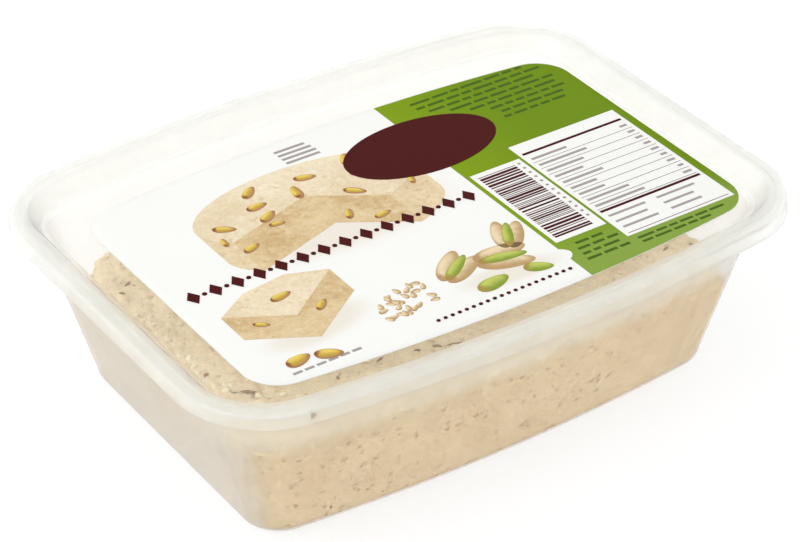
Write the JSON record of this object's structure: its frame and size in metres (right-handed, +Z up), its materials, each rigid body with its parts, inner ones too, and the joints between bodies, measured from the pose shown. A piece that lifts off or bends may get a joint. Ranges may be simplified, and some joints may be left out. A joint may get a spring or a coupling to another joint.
{
  "type": "tub of pistachio halva",
  "caption": "Shut rectangular translucent plastic tub filled with pistachio halva, with a press-on lid and a printed label in the lid's sunk panel.",
  "frame": {"origin": "centre of the bounding box in plan, at the height of the foot ring that the tub stands on", "axes": "+X along the tub, to the right of the label as it is read; +Y across it, towards the label's top edge; +Z up, out of the lid"},
  "size_m": [0.1658, 0.125, 0.0477],
  "materials": {
    "tub_plastic": "thin translucent polypropylene, satin, contents show through it",
    "halva": "dense crumbly sesame halva, warm beige with pores, flakes and bits of pistachio",
    "lid_plastic": "thin translucent polypropylene, frosted rim and clearer sunk panel",
    "label_print": "printed film label, white and leaf green, satin"
  },
  "bodies": {
    "root": {"tub": "tub_plastic", "halva": "halva", "lid": "lid_plastic", "label": "label_print"}
  },
  "joints": []
}
